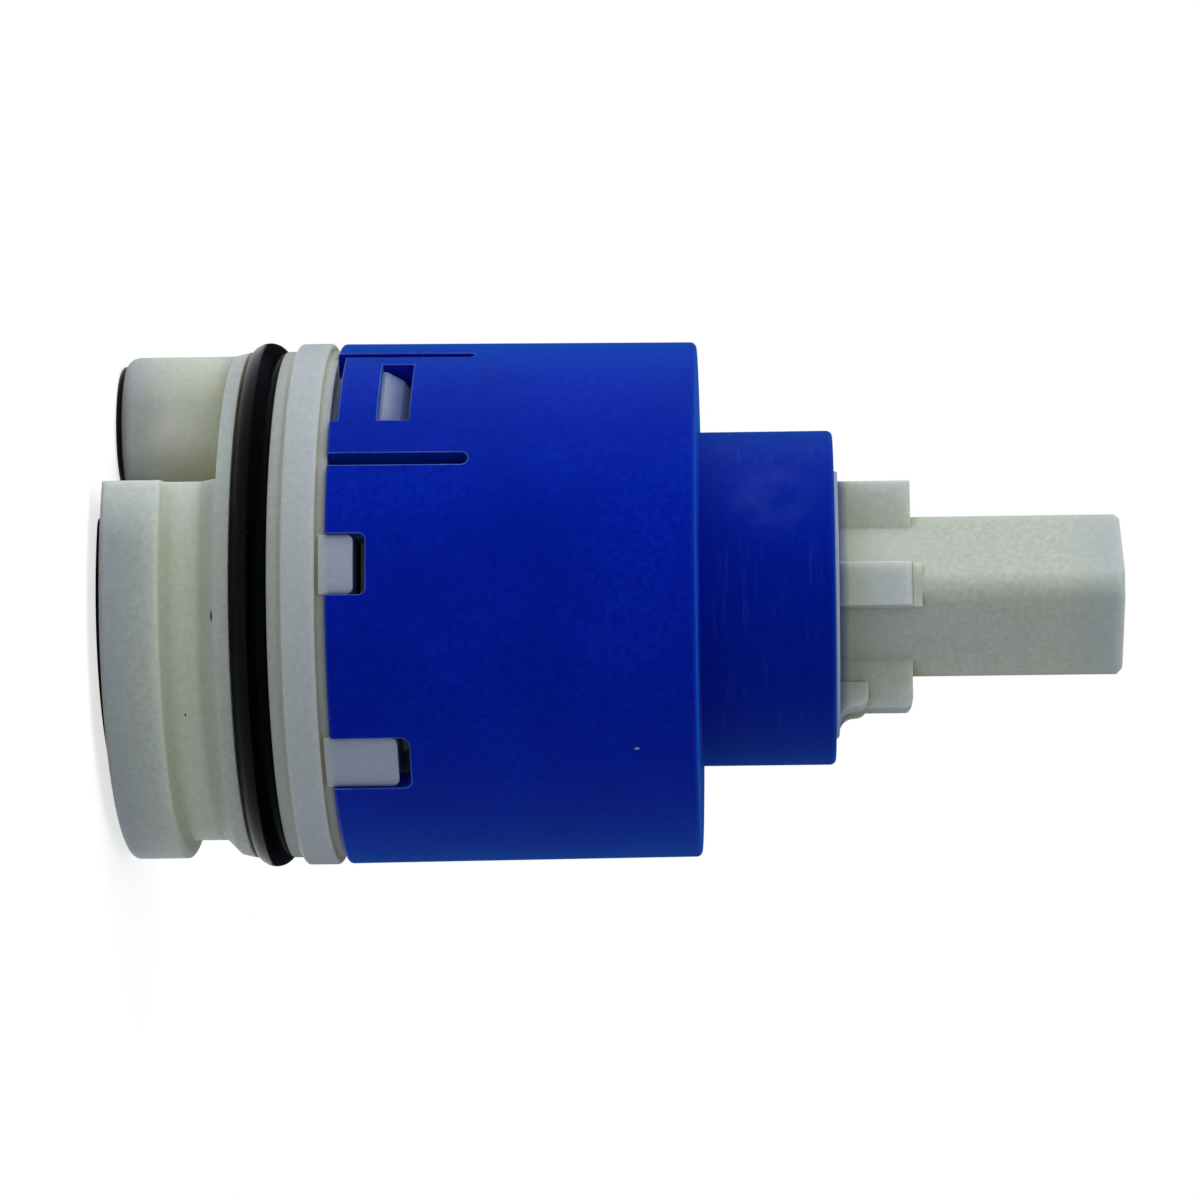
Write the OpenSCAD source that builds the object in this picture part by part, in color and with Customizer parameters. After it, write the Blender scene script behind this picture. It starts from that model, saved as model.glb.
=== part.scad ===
// Single-lever mixer cartridge, 35 mm class. Upright on its port seals: +Z runs
// along the lever stem, the outlet collar is at -X and the short key at -Y.
// The lever stands closed, and tips towards -X to open the valve.

/* [Base] */
// Radius of the guide flange, which sets the size of the whole cartridge
flange_r = 17.5; // [17:0.1:21]
// Thickness of the guide flange
flange_t = 2.2; // [1.6:0.1:3]
// How far the foot and the lips stand back from the guide flange
foot_step = 0.5; // [0.3:0.1:1]
// Thickness of the foot
foot_t = 3.8; // [3:0.1:5]
// Height of the waist between the foot and the lower lip
waist_h = 2.55; // [1.8:0.05:4]
// Depth of the waist below the foot's rim
waist_depth = 1.2; // [0.8:0.05:1.6]
// Thickness of the lower lip of the seal groove, with its cone
lower_lip_t = 1.95; // [1.8:0.05:2.6]
// Thickness of the upper lip of the seal groove
upper_lip_t = 0.9; // [0.6:0.1:2]
// Height of the bare seat between the flange and the housing
seat_h = 0.65; // [0.4:0.05:1.5]

/* [Ports] */
// Radius of each inlet port in the foot
inlet_r = 4.2; // [3.4:0.1:4.4]
// Distance of the inlet ports from the lever's turning axis, along X
inlet_x = 3.2; // [2.6:0.1:3.6]
// Distance of each inlet port from the middle plane, along Y
inlet_y = 5.4; // [5.3:0.1:5.8]
// Outer radius of the outlet collar
collar_r = 5; // [4.8:0.1:5.4]
// Radius of the outlet port in the collar
outlet_r = 3.3; // [2.6:0.1:3.4]
// How far the collar's end stands below the foot's face
collar_drop = 0.45; // [0.2:0.05:0.6]
// Radius of the passages through the discs' seals
passage_r = 3.4; // [2.8:0.1:3.5]

/* [Seals] */
// Cord diameter of the body O-ring
o_ring_cord = 2.4; // [1.8:0.1:3]
// How far the O-ring stands out past the guide flange
o_ring_proud = 0.1; // [0.05:0.05:0.3]
// How far the inlet gasket stands out of the foot's face
gasket_proud = 0.8; // [0.7:0.05:1.2]
// Width of the inlet gasket's bead
gasket_w = 1.8; // [1.4:0.1:2.2]
// Wall of each round disc seal
disc_seal_w = 1.5; // [1.2:0.1:1.6]
// How far the disc seals lift the fixed disc off its deck
disc_seal_lift = 0.3; // [0.1:0.05:0.5]
// Cord diameter of the rotor's damping O-ring
rotor_ring_cord = 1.5; // [1:0.1:1.8]

/* [Housing] */
// Height of the housing's body, from its open end to the shoulder
body_h = 23.6; // [19.8:0.05:29]
// Wall of the housing's body at its open end
wall = 1.6; // [1.2:0.1:2]
// How much the body's radius draws in from its open end to the shoulder
draft = 0.2; // [0:0.05:0.4]
// Thickness of the shoulder
shoulder_t = 2.4; // [1.6:0.1:3]
// Radius of the neck
neck_r = 11.2; // [11:0.1:13.5]
// Height of the neck above the shoulder
neck_h = 9; // [8:0.05:10.5]
// Wall of the neck
neck_wall = 1.6; // [1.2:0.1:1.8]

/* [Snap tongues and keys] */
// Width of the short keys
short_key_w = 3.85; // [3:0.05:5]
// Height of the short keys above the housing's open end
short_key_h = 1.8; // [1:0.1:2.2]
// Width of the long keys
long_key_w = 4; // [3:0.1:5]
// Height of the long keys above the housing's open end
long_key_h = 4.3; // [3:0.1:5]
// Free height left above each key in its notch
key_room = 0.8; // [0.3:0.1:1.2]
// Angle from the middle of a snap tongue's window to the nearer side slot
near_slot_angle = 16.5; // [16:0.25:19]
// Angle from the middle of a snap tongue's window to the farther side slot
far_slot_angle = 21.25; // [19:0.25:23]
// Height of the slots beside a snap tongue
tongue_h = 9.1; // [6:0.1:10]
// Width of the slots beside a snap tongue
tongue_slot_w = 0.95; // [0.6:0.05:1.2]
// Angle from a snap tongue's middle to each end of its window
window_half_angle = 10.75; // [8:0.25:13]
// Height of a snap tongue's window
window_h = 2.1; // [1.6:0.1:2.4]

/* [Discs and carrier] */
// Thickness of each ceramic disc
disc_t = 3.4; // [2.8:0.1:4.1]
// Thickness of the disc carrier's plate
carrier_t = 3.2; // [2.4:0.1:3.8]
// Height of the lever's ball above the carrier's plate
ball_lift = 6.2; // [5.4:0.1:7]
// Radius of the lever's ball
ball_r = 2.4; // [2:0.1:2.45]

/* [Lever] */
// Width of the square stem across its flats
stem_w = 8.5; // [7:0.1:10.2]
// Corner radius of the square stem
stem_corner_r = 1.5; // [0.6:0.1:2]
// Length of the square stem above the lever's blade
stem_h = 13.95; // [10:0.05:18]
// Radius of the blade's rounded ends
blade_r = 7.8; // [7:0.1:8]
// Thickness of the blade
blade_t = 3.2; // [2.8:0.1:4.4]
// Height of the blade above the neck's mouth
blade_h = 5.15; // [4:0.05:7]
// Thickness of the cross ribs
rib_t = 2.9; // [2.4:0.1:4]
// Reach of the cross ribs from the stem's axis
rib_r = 6.3; // [6.1:0.1:6.8]
// Radius of the hinge pin
pin_r = 1.5; // [1.2:0.1:1.8]

/* [Motion] */
// Angle that the lever tips from closed to open
tilt_angle = 20; // [14:1:20]
// Angle that the rotor turns to each side of the middle
turn_angle = 50; // [35:1:55]

/* [Hidden] */
$fn = 96;

// Clearances
fit = 0.1;          // between pieces that are pressed or dropped into each other
slip = 0.03;        // between faces that slide on each other
journal_gap = 0.08; // round the rotor's tube in the neck
pin_gap = 0.05;     // round the hinge pin in the lever
ball_gap = 0.15;    // round the ball in its bush
side_gap = 0.3;     // beside the lever's blade and round what turns in the housing
wall_gap = 0.05;    // further room for the housing's moulding draft
seal_gap = 0.05;    // between a seal's bore and the water way through it
press = 0.01;       // round the hinge pin in the rotor
over = 1;           // how far a cut runs past the face it opens
root = 0.4;         // how far a boss or rib sinks into the wall that carries it

// Edges
edge_r = 0.4;
fine_edge_r = 0.2;

// Levels along Z
foot_z = gasket_proud;
collar_z = foot_z - collar_drop;
foot_top_z = foot_z + foot_t;
lip_z = foot_top_z + waist_h;
groove_z = lip_z + lower_lip_t;
groove_top_z = groove_z + o_ring_cord + 2 * slip;
flange_z = groove_top_z + upper_lip_t;
flange_top_z = flange_z + flange_t;
housing_z = flange_top_z + seat_h;
shoulder_z = housing_z + body_h;
shoulder_in_z = shoulder_z - shoulder_t;
mouth_z = shoulder_z + neck_h;
rim_proud = 0.25;
rim_z = mouth_z + rim_proud;
dish_depth = 1.8;
dish_z = rim_z - dish_depth;
blade_top_z = mouth_z + blade_h;
stem_top_z = blade_top_z + stem_h;
deck_rise = 1.7;
deck_z = housing_z + deck_rise;
fixed_disc_z = deck_z + disc_seal_lift;
disc_proud = 0.2;
rim_top_z = fixed_disc_z + disc_t - disc_proud;
moving_disc_z = fixed_disc_z + disc_t + slip;
carrier_z = moving_disc_z + disc_t + slip;
carrier_top_z = carrier_z + carrier_t;
drum_z = carrier_top_z + slip;
slide_ring_t = 0.7;
drum_top_z = shoulder_in_z - slip - slide_ring_t;

// Radii of the base and the housing
foot_r = flange_r - foot_step;
waist_r = foot_r - waist_depth;
o_ring_out_r = flange_r + o_ring_proud;
groove_r = o_ring_out_r - o_ring_cord - slip;
housing_step = 0.05;
housing_r = flange_r - housing_step;
shoulder_r = housing_r - draft;
housing_in_r = housing_r - wall;
neck_in_r = neck_r - neck_wall;
spigot_r = housing_in_r - fit;
rim_wall = 2.1;
rim_in_r = spigot_r - rim_wall;
lug_angles = [45, 225];
lug_w = 3;
lug_depth = 1;
lug_r = rim_in_r - lug_depth;

// Outlet collar, and the flat that clears it on the foot
collar_x = -(foot_r - collar_r);
collar_edge_r = 0.9;
collar_gap = 1.1;
foot_flat_x = collar_x + collar_r + collar_gap;
foot_corner_r = 0.8;
foot_top_edge_r = 0.3;
waist_fillet_r = 0.5;
lip_taper = 0.2;
lip_cone = waist_depth - lip_taper; // reach and height of the cone under the lower lip
lip_face_z = lip_z + lip_cone;

// Inlet gasket, a D-shaped loop with a bar across it
gasket_inset = 4.4;
gasket_flat_inset = 1.7;
gasket_out_r = foot_r - gasket_inset;
gasket_flat_x = foot_flat_x + gasket_flat_inset;
gasket_depth = 1.6;
gasket_corner_r = 1.2;
gasket_cell_corner_r = 0.9;

// Outlet seal, in a counterbore at the collar's end
outlet_seal_w = 1.15;
outlet_seal_r = outlet_r + outlet_seal_w;
outlet_seal_depth = 1.6;

// Passages from the ports up to the deck
passage_wall = 0.7;    // least wall between a passage and what lies beside it
inlet_bore_top_z = flange_z + passage_wall - fit;
disc_seal_r = passage_r + disc_seal_w + fit;
disc_seal_depth = 1.4;
outlet_x = -(rim_in_r - disc_seal_r - passage_wall);
outlet_bore_top_z = lip_z;
groove_wall = 1.25;
link_r = 2.7;
link_x = -(groove_r - groove_wall - link_r);
link_lap = 0.5;        // how far the crossing passages overlap in height
link_top_z = groove_top_z + link_lap;
riser_r = 3.2;
riser_z = groove_z + link_lap;

// Snap tongues, one pair of long keys and one pair of short keys
tongue_angles = [45, 225];
long_key_angles = [135, 315];
short_key_angles = [90, 270];
window_rise = 3.1;
window_z = housing_z + window_rise;
catch_inset = 0.45;
catch_r = housing_r - catch_inset;
catch_side_gap = 1;    // degrees between a catch and each end of its window
catch_land = 0.3;      // height of a catch's square edge, below its ramp
catch_fall = 0.65;     // how far the ramp falls to its crease
catch_room = 0.35;     // free height above a catch in its window
catch_h = window_h - catch_room;
catch_steep_h = 0.35;  // height of the steep end of the ramp
tip_relief = 0.6;
key_inset = 0.2;
key_r = housing_r - key_inset;
long_key_corner_r = 0.6;
short_key_corner_r = 0.45;

// Motion of the lever, its ball and the carrier
half_tilt = tilt_angle / 2;
pin_roof = 0.2;
pin_z = dish_z - pin_roof - pin_r;
arm_len = pin_z - (carrier_top_z + ball_lift);
throw_half = arm_len * sin(half_tilt);

// Discs, carrier and bush
fixed_disc_r = rim_in_r - fit;
disc_port_inset = 0.4;
disc_port_r = passage_r - disc_port_inset;
carrier_r = housing_in_r - throw_half - side_gap - wall_gap;
skirt_wall = 1;
skirt_h = 2;
moving_disc_r = carrier_r - skirt_wall - fit;
disc_key_w = 3;
disc_key_depth = 0.8;
disc_key_angles = [0, 90, 270];
chamber_wall = 2.9;
chamber_r = moving_disc_r - chamber_wall;
shut_lap = 0.3;        // how far the closed disc covers past the edge of an inlet
chamber_edge_x = inlet_x - disc_port_r - shut_lap + throw_half;
chamber_seal_w = 1.1;
chamber_seal_h = 0.8;
chamber_seal_land = 0.65;
chamber_seal_r = chamber_r + chamber_seal_land + chamber_seal_w;
mesh_t = 0.6;
mesh_pitch = 2.2;
mesh_hole = 1.4;
mesh_rim = 0.4;
boss_r = 5;
boss_flat_y = 4.6;
boss_rise = 1.4;
boss_top_z = carrier_top_z + ball_lift + boss_rise;
bush_wall = 1;
bush_in_r = ball_r + ball_gap;
bush_out_r = bush_in_r + bush_wall;
bush_floor = 0.8;
bush_z = carrier_top_z + ball_lift - ball_r - bush_floor;

// Rotor
drum_r = housing_in_r - side_gap - wall_gap;
tube_r = neck_in_r - journal_gap;
dish_gap = 0.4;
dish_r = blade_r + dish_gap;
slot_half_w = blade_t / 2 + side_gap;
slot_end_x = blade_r + side_gap;
slot_depth = 1.2;
slot_floor_z = pin_z - slot_depth;
relief_cover = 0.2;    // how far the relieved rim still stands inside the blade's reach
rim_relief_x = -(blade_r - relief_cover);
arm_r = 1.5;
hub_wall = 2.4;
hub_r = pin_r + hub_wall;
arm_slot_gap = 1.1;
arm_slot_x = hub_r + arm_slot_gap;
channel_x = boss_r + throw_half + side_gap;
channel_top_z = boss_top_z + side_gap;
heel_r = blade_r + dish_gap;
heel_in_r = 6.4;
heel_h = 1.9;
heel_fillet_r = 1;
heel_edge_r = 0.8;
heel_half_angle = 20;
rotor_ring_rise = 1.6;
rotor_ring_z = shoulder_z + rotor_ring_rise;
rotor_ring_out_r = neck_in_r - journal_gap / 2;
stop_half_w = 1.5;
stop_reach = 0.9;
stop_r = drum_r - stop_reach;
stop_recess_r = stop_r - side_gap;
stop_h = 6;
stop_z = shoulder_in_z - stop_h;

// Lever
blade_z = mouth_z - side_gap;
stem_foot_z = mouth_z + fit;
blade_edge_r = 0.25;
blade_low_edge_r = 0.8;
rib_edge_r = 0.5;
rib_fillet_r = 0.6;
stem_edge = 0.35;
pin_cover = 0.9;
pin_half_l = tube_r - pin_cover;

// Colours
white_resin = "#d9dccf";
blue_resin = "#1535b5";
black_rubber = "#161616";
ceramic = "#f2efe6";
steel = "#b9bcc0";
bronze = "#c08a4a";

// Points along an arc, from one angle to another
function arc(centre, r, from, to, steps = 6) =
    [for (i = [0:steps]) let (a = from + (to - from) * i / steps)
        centre + r * [cos(a), sin(a)]];

// Outline of a disc cut flat at flat_x, with rounded corners
function d_outline(r, flat_x, corner_r) =
    let (cx = flat_x + corner_r,
        cy = sqrt(pow(r - corner_r, 2) - cx * cx),
        a = atan2(cy, cx))
    concat(
        arc([0, 0], r, -a, a, 48),
        arc([cx, cy], corner_r, a, 180),
        arc([cx, -cy], corner_r, 180, 360 - a));

// Ring with a square-cut section, standing on the XY plane
module ring(inner_r, outer_r, h) {
    rotate_extrude() translate([inner_r, 0]) square([outer_r - inner_r, h]);
}

// Part of such a ring, centred on +X
module ring_sector(inner_r, outer_r, h, half_angle) {
    rotate([0, 0, -half_angle]) rotate_extrude(angle = 2 * half_angle)
        translate([inner_r, 0]) square([outer_r - inner_r, h]);
}

// Rubber ring with softly rounded edges
module seal_ring(inner_r, outer_r, h) {
    soft = 0.35;
    rotate_extrude() polygon(concat(
        arc([outer_r - soft, soft], soft, -90, 0, 4),
        arc([outer_r - soft, h - soft], soft, 0, 90, 4),
        arc([inner_r + soft, h - soft], soft, 90, 180, 4),
        arc([inner_r + soft, soft], soft, 180, 270, 4)));
}

// Round O-ring, lying level with its middle plane at z
module o_ring(out_r, cord, z) {
    translate([0, 0, z]) rotate_extrude() translate([out_r - cord / 2, 0]) circle(d = cord);
}

// Block of a key or a notch that points outwards, with its upper corners rounded
module key_block(w, h, corner_r, inner_r, outer_r) {
    translate([inner_r, 0, 0]) rotate([90, 0, 90]) linear_extrude(outer_r - inner_r)
        polygon(concat(
            [[-w / 2, 0], [w / 2, 0]],
            arc([w / 2 - corner_r, h - corner_r], corner_r, 0, 90),
            arc([corner_r - w / 2, h - corner_r], corner_r, 90, 180)));
}

// Everything on the far side of the plane x = flat_x, as a cutting block
module beyond_flat(flat_x, z, h) {
    translate([flat_x - 4 * flange_r, -2 * flange_r, z]) cube([4 * flange_r, 4 * flange_r, h]);
}

// Foot, waist and the cone under the lower lip, all cut flat beside the outlet collar
module foot() {
    cut_h = lip_face_z - foot_z;
    corner_x = foot_flat_x + foot_corner_r;
    corner_y = sqrt(pow(foot_r - foot_corner_r, 2) - corner_x * corner_x);
    difference() {
        rotate_extrude() polygon(concat(
            [[0, foot_z]],
            arc([foot_r - edge_r, foot_z + edge_r], edge_r, -90, 0),
            arc([foot_r - foot_top_edge_r, foot_top_z - foot_top_edge_r], foot_top_edge_r, 0, 90),
            arc([waist_r + waist_fillet_r, foot_top_z + waist_fillet_r], waist_fillet_r, 270, 180),
            [[waist_r, lip_z], [waist_r + lip_cone, lip_face_z], [waist_r, lip_face_z + root]],
            [[0, lip_face_z + root]]));
        beyond_flat(foot_flat_x, foot_z - over, cut_h + over);
        for (side = [-1, 1]) difference() {
            translate([foot_flat_x - over, side > 0 ? corner_y : -foot_r - over, foot_z - over])
                cube([foot_corner_r + over, foot_r + over - corner_y, cut_h + over]);
            translate([corner_x, side * corner_y, foot_z - 2 * over])
                cylinder(r = foot_corner_r, h = cut_h + 3 * over);
        }
    }
}

// Round collar of the outlet port
module outlet_collar() {
    translate([collar_x, 0, 0]) rotate_extrude() polygon(concat(
        [[0, collar_z]],
        arc([collar_r - collar_edge_r, collar_z + collar_edge_r], collar_edge_r, -90, 0),
        [[collar_r, groove_z], [0, groove_z]]));
}

// Lips, seal groove, guide flange and the spigot that enters the housing
module base_barrel() {
    rotate_extrude() polygon(concat(
        [[0, lip_face_z], [waist_r + lip_cone, lip_face_z]],
        [[foot_r, groove_z], [groove_r, groove_z], [groove_r, groove_top_z]],
        [[foot_r, groove_top_z], [foot_r, flange_z - fine_edge_r]],
        [[foot_r + fine_edge_r, flange_z]],
        arc([flange_r - fine_edge_r, flange_z + fine_edge_r], fine_edge_r, -90, 0, 3),
        arc([flange_r - fine_edge_r, flange_top_z - fine_edge_r], fine_edge_r, 0, 90, 3),
        [[foot_r, flange_top_z], [foot_r, housing_z], [spigot_r, housing_z]],
        [[spigot_r, rim_top_z - edge_r], [spigot_r - edge_r, rim_top_z], [0, rim_top_z]]));
}

// Ramped catch that snaps into a tongue's window
module catch() {
    half_angle = window_half_angle - catch_side_gap;
    rotate([0, 0, -half_angle]) rotate_extrude(angle = 2 * half_angle)
        polygon([
            [spigot_r - root, window_z + slip],
            [catch_r, window_z + slip],
            [catch_r, window_z + catch_land],
            [catch_r - catch_fall, window_z + catch_h - catch_steep_h],
            [spigot_r, window_z + catch_h],
            [spigot_r - root, window_z + catch_h]]);
}

// Keys that stop the housing from turning on the base
module keys() {
    intersection() {
        union() {
            for (a = short_key_angles) rotate([0, 0, a]) translate([0, 0, housing_z - root])
                key_block(short_key_w, short_key_h + root, short_key_corner_r,
                    spigot_r - root, housing_r + over);
            for (a = long_key_angles) rotate([0, 0, a]) translate([0, 0, housing_z - root])
                key_block(long_key_w, long_key_h + root, long_key_corner_r,
                    spigot_r - root, housing_r + over);
        }
        translate([0, 0, housing_z - over]) cylinder(r = key_r, h = long_key_h + 2 * over);
    }
}

// Pockets through the disc rim, behind the free ends of a pair of keys
module key_pockets(angles, w, h) {
    floor_z = max(housing_z + h, deck_z);
    for (a = angles) rotate([0, 0, a]) translate([rim_in_r - over, -w / 2, floor_z])
        cube([rim_wall + 2 * over, w, rim_top_z - floor_z + over]);
}

// Upright cutting cylinder from one level to another
module bore(x, y, r, from_z, to_z) {
    translate([x, y, from_z]) cylinder(r = r, h = to_z - from_z);
}

// Water ways from the ports to the deck
module passages() {
    for (side = [-1, 1]) {
        bore(inlet_x, side * inlet_y, inlet_r, foot_z - over, inlet_bore_top_z);
        bore(inlet_x, side * inlet_y, passage_r, foot_z, deck_z + over);
        bore(inlet_x, side * inlet_y, disc_seal_r, deck_z - disc_seal_depth, deck_z + over);
    }
    bore(collar_x, 0, outlet_seal_r, collar_z - over, collar_z + outlet_seal_depth);
    bore(collar_x, 0, outlet_r, collar_z - over, outlet_bore_top_z);
    bore(link_x, 0, link_r, outlet_bore_top_z - over, link_top_z);
    bore(outlet_x, 0, riser_r, riser_z, deck_z + over);
    bore(outlet_x, 0, disc_seal_r, deck_z - disc_seal_depth, deck_z + over);
}

// Plan of the inlet gasket, grown by extra on every side for its groove
module gasket_plan(extra = 0) {
    cell_r = gasket_out_r - gasket_w - extra;
    bar = gasket_w / 2 + extra;
    difference() {
        polygon(d_outline(gasket_out_r + extra, gasket_flat_x - extra, gasket_corner_r));
        for (side = [-1, 1]) intersection() {
            polygon(d_outline(cell_r, gasket_flat_x + gasket_w + extra, gasket_cell_corner_r));
            translate([-cell_r, side > 0 ? bar : -bar - cell_r]) square([2 * cell_r, cell_r]);
        }
    }
}

module base() {
    color(white_resin) {
        difference() {
            union() {
                foot();
                outlet_collar();
                base_barrel();
                for (a = tongue_angles) rotate([0, 0, a]) catch();
                keys();
            }
            translate([0, 0, deck_z]) cylinder(r = rim_in_r, h = rim_top_z - deck_z + over);
            translate([0, 0, foot_z - over]) linear_extrude(gasket_depth + over) gasket_plan(slip);
            passages();
            key_pockets(short_key_angles, short_key_w, short_key_h);
            key_pockets(long_key_angles, long_key_w, long_key_h);
        }
        for (a = lug_angles) rotate([0, 0, a]) translate([lug_r, -lug_w / 2, deck_z - root])
            cube([rim_in_r + root - lug_r, lug_w, rim_top_z - deck_z]);
    }
}

module inlet_gasket() {
    color(black_rubber) linear_extrude(foot_z + gasket_depth) gasket_plan();
}

module outlet_port_seal() {
    color(black_rubber) translate([collar_x, 0, 0])
        seal_ring(outlet_r + fit, outlet_seal_r - slip, collar_z + outlet_seal_depth);
}

module body_o_ring() {
    color(black_rubber) o_ring(o_ring_out_r, o_ring_cord, (groove_z + groove_top_z) / 2);
}

// Seal ring in its counterbore on the deck
module disc_seal(x, y) {
    color(black_rubber) translate([x, y, deck_z - disc_seal_depth])
        seal_ring(passage_r + seal_gap, disc_seal_r - slip, disc_seal_depth + disc_seal_lift);
}

module disc_seal_hot() {
    disc_seal(inlet_x, inlet_y);
}

module disc_seal_cold() {
    disc_seal(inlet_x, -inlet_y);
}

module disc_seal_outlet() {
    disc_seal(outlet_x, 0);
}

// Slots, window and tip relief that free a snap tongue
module tongue_cuts() {
    reach = wall + 2 * over;
    for (a = [-near_slot_angle, far_slot_angle]) rotate([0, 0, a])
        translate([housing_in_r - over, 0, housing_z]) {
            translate([0, -tongue_slot_w / 2, -over])
                cube([reach, tongue_slot_w, tongue_h + over - tongue_slot_w / 2]);
            translate([0, 0, tongue_h - tongue_slot_w / 2])
                rotate([0, 90, 0]) cylinder(d = tongue_slot_w, h = reach);
        }
    translate([0, 0, window_z])
        ring_sector(housing_in_r - over, housing_r + over, window_h, window_half_angle);
    // Relief under the tongue's tip, from the nearer slot to the far end of the window
    relief_half_angle = (near_slot_angle + window_half_angle) / 2;
    rotate([0, 0, relief_half_angle - near_slot_angle]) translate([0, 0, housing_z - over])
        ring_sector(housing_in_r - over, housing_r + over, over + tip_relief, relief_half_angle);
}

module housing() {
    mouth_edge = 0.5;
    color(blue_resin) {
        difference() {
            rotate_extrude() polygon(concat(
                [[housing_in_r, housing_z]],
                arc([housing_r - fine_edge_r, housing_z + fine_edge_r], fine_edge_r, -90, 0, 3),
                arc([shoulder_r - edge_r, shoulder_z - edge_r], edge_r, 0, 90),
                arc([neck_r + fine_edge_r, shoulder_z + fine_edge_r], fine_edge_r, 270, 180, 3),
                arc([neck_r - edge_r, mouth_z - edge_r], edge_r, 0, 90),
                [[neck_in_r + mouth_edge, mouth_z], [neck_in_r, mouth_z - mouth_edge]],
                [[neck_in_r, shoulder_in_z], [housing_in_r, shoulder_in_z]]));
            for (a = tongue_angles) rotate([0, 0, a]) tongue_cuts();
            for (a = long_key_angles) rotate([0, 0, a]) translate([0, 0, housing_z - over])
                key_block(long_key_w + fit, long_key_h + key_room + over, long_key_corner_r,
                    housing_in_r - over, housing_r + over);
            for (a = short_key_angles) rotate([0, 0, a]) translate([0, 0, housing_z - over])
                key_block(short_key_w + fit, short_key_h + key_room + over, short_key_corner_r,
                    housing_in_r - over, housing_r + over);
        }
        // Stop rib that limits the rotor's turn
        intersection() {
            translate([-stop_half_w, stop_r, stop_z])
                cube([2 * stop_half_w, wall + housing_in_r - stop_r, stop_h + root]);
            cylinder(r = housing_in_r + root, h = shoulder_z);
        }
    }
}

module fixed_disc() {
    color(ceramic) translate([0, 0, fixed_disc_z]) difference() {
        cylinder(r = fixed_disc_r, h = disc_t);
        for (side = [-1, 1]) translate([inlet_x, side * inlet_y, -over])
            cylinder(r = disc_port_r, h = disc_t + 2 * over);
        translate([outlet_x, 0, -over]) cylinder(r = disc_port_r, h = disc_t + 2 * over);
        for (a = lug_angles) rotate([0, 0, a]) translate([lug_r - fit, -lug_w / 2 - fit, -over])
            cube([rim_wall, lug_w + 2 * fit, disc_t + 2 * over]);
    }
}

// Plan of the mixing chamber, shrunk by inset on every side
module chamber_plan(inset = 0) {
    intersection() {
        circle(r = chamber_r - inset);
        translate([-2 * chamber_r, -2 * chamber_r])
            square([2 * chamber_r + chamber_edge_x - inset, 4 * chamber_r]);
    }
}

module moving_disc() {
    color(ceramic) translate([-throw_half, 0, moving_disc_z]) difference() {
        cylinder(r = moving_disc_r, h = disc_t);
        translate([0, 0, -over]) linear_extrude(disc_t + 2 * over) chamber_plan();
        for (a = disc_key_angles) rotate([0, 0, a])
            translate([moving_disc_r - disc_key_depth, -disc_key_w / 2, -over])
                cube([disc_key_depth + over, disc_key_w, disc_t + 2 * over]);
    }
}

module silencer_mesh() {
    reach = floor(chamber_r / mesh_pitch);
    color(steel) translate([-throw_half, 0, moving_disc_z + disc_t - mesh_t - fit])
        linear_extrude(mesh_t) difference() {
            chamber_plan(fit);
            for (i = [-reach:reach], j = [-reach:reach]) {
                x = (i + 0.5) * mesh_pitch;
                y = j * mesh_pitch;
                corner = norm([abs(x) + mesh_hole / 2, abs(y) + mesh_hole / 2]);
                inside = corner < chamber_r - 2 * mesh_rim
                    && x + mesh_hole / 2 < chamber_edge_x - mesh_rim;
                if (inside) translate([x, y]) square(mesh_hole, center = true);
            }
        }
}

module chamber_seal() {
    color(black_rubber) translate([-throw_half, 0, carrier_z - slip])
        seal_ring(chamber_seal_r - chamber_seal_w, chamber_seal_r, chamber_seal_h + slip);
}

module disc_carrier() {
    color(white_resin) translate([-throw_half, 0, 0]) difference() {
        union() {
            difference() {
                rotate_extrude() polygon(concat(
                    [[0, carrier_z - skirt_h], [carrier_r - edge_r, carrier_z - skirt_h]],
                    [[carrier_r, carrier_z - skirt_h + edge_r]],
                    arc([carrier_r - edge_r, carrier_top_z - edge_r], edge_r, 0, 90, 3),
                    [[0, carrier_top_z]]));
                translate([0, 0, carrier_z - skirt_h - over])
                    cylinder(r = moving_disc_r + fit, h = skirt_h + over);
            }
            for (a = disc_key_angles) rotate([0, 0, a])
                translate([moving_disc_r - disc_key_depth + fit, 0, carrier_z - skirt_h])
                    translate([0, fit - disc_key_w / 2, 0])
                        cube([disc_key_depth + root, disc_key_w - 2 * fit, skirt_h + root]);
            intersection() {
                bore(0, 0, boss_r, carrier_top_z - root, boss_top_z);
                translate([-boss_r, -boss_flat_y, carrier_z])
                    cube([2 * boss_r, 2 * boss_flat_y, boss_top_z]);
            }
        }
        translate([0, 0, carrier_z - over])
            ring(chamber_seal_r - chamber_seal_w - slip, chamber_seal_r + slip, chamber_seal_h + over);
        bore(0, 0, bush_out_r + slip, bush_z, boss_top_z + over);
    }
}

module ball_bush() {
    flare = 0.4;
    color(bronze) translate([-throw_half, 0, 0]) rotate_extrude() polygon([
        [bush_in_r, bush_z], [bush_out_r, bush_z], [bush_out_r, boss_top_z],
        [bush_in_r + flare, boss_top_z], [bush_in_r, boss_top_z - flare]]);
}

// Upstand beside the lever's blade, which the closed lever rests between
module heel() {
    top_z = rim_z + heel_h;
    foot_out_r = heel_r + heel_fillet_r;
    rotate([0, 0, -heel_half_angle]) rotate_extrude(angle = 2 * heel_half_angle)
        polygon(concat(
            [[heel_in_r, dish_z - root], [foot_out_r, dish_z - root], [foot_out_r, rim_z]],
            arc([foot_out_r, rim_z + heel_fillet_r], heel_fillet_r, 270, 180),
            arc([heel_r - heel_edge_r, top_z - heel_edge_r], heel_edge_r, 0, 90),
            [[heel_in_r, top_z]]));
}

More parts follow.
